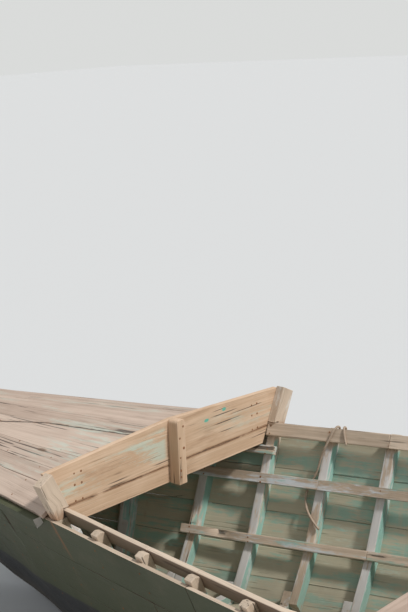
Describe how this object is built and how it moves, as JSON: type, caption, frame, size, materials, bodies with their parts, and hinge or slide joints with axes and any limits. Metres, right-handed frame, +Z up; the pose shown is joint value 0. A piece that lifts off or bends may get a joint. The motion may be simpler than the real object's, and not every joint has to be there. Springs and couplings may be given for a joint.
{
  "type": "wooden fishing boat",
  "caption": "Open wooden plank boat with a raised cambered foredeck, coaming board with posts, sawn frames, inner rails, stringers, thwarts and transom",
  "frame": {"origin": "middle of the boat's overall length and width, on the ground under the keel plank", "axes": "+X points to the bow, +Y to port, +Z up"},
  "size_m": [6.1718, 2.09, 1.08],
  "materials": {
    "grey_deck": "bare weathered planks, dry and grey-tan",
    "faded_board": "bare weathered board with worn pale turquoise paint",
    "white_post": "flaking white paint on wood",
    "tarred_plank": "dull dark olive and black paint outside, worn turquoise inside",
    "painted_plank": "dull olive paint outside, worn turquoise inside",
    "turquoise_frame": "worn turquoise paint on sawn wood",
    "bare_rail": "bare pinkish-grey weathered wood",
    "worn_stringer": "worn wood with blue-turquoise paint left on it",
    "bare_timber": "bare sawn timber, damp and dark",
    "green_stem": "worn dull green paint",
    "old_rope": "frayed brown rope",
    "rusty_iron": "rusted nail heads"
  },
  "bodies": {
    "root": {"apron": "bare_timber", "bilge_runner_port": "tarred_plank", "bilge_runner_starboard": "tarred_plank", "bilge_strake_port": "tarred_plank", "bilge_strake_starboard": "tarred_plank", "bilge_stringer_port": "worn_stringer", "bilge_stringer_starboard": "worn_stringer", "board_post_middle": "faded_board", "board_post_port": "white_post", "board_post_starboard": "white_post", "bottom_planks": "tarred_plank", "breasthook": "bare_timber", "coaming_board_lower": "faded_board", "coaming_board_upper": "faded_board", "deck_beam_1": "bare_timber", "deck_beam_2": "bare_timber", "deck_beam_3": "bare_timber", "foredeck_planks": "grey_deck", "frame_01": "turquoise_frame", "frame_02": "turquoise_frame", "frame_03": "turquoise_frame", "frame_04": "turquoise_frame", "frame_05": "turquoise_frame", "frame_06": "turquoise_frame", "frame_07": "turquoise_frame", "frame_08": "turquoise_frame", "frame_09": "turquoise_frame", "frame_10": "turquoise_frame", "frame_11": "turquoise_frame", "frame_12": "turquoise_frame", "frame_13": "turquoise_frame", "frame_14": "turquoise_frame", "garboard_port": "tarred_plank", "garboard_starboard": "tarred_plank", "inner_rail_port": "bare_rail", "inner_rail_starboard": "bare_rail", "keel_plank": "tarred_plank", "lower_side_strake_port": "tarred_plank", "lower_side_strake_starboard": "tarred_plank", "riser_port": "worn_stringer", "riser_starboard": "worn_stringer", "rope": "old_rope", "rub_strip_port": "tarred_plank", "rub_strip_starboard": "tarred_plank", "sheer_strake_port": "painted_plank", "sheer_strake_starboard": "painted_plank", "short_stringer_port": "worn_stringer", "short_stringer_starboard": "worn_stringer", "stem": "green_stem", "stern_beam_1": "bare_timber", "stern_beam_2": "bare_timber", "stern_deck_planks": "grey_deck", "thwart_1": "grey_deck", "thwart_2": "grey_deck", "transom": "painted_plank", "upper_side_strake_port": "painted_plank", "upper_side_strake_starboard": "painted_plank"}
  },
  "joints": []
}
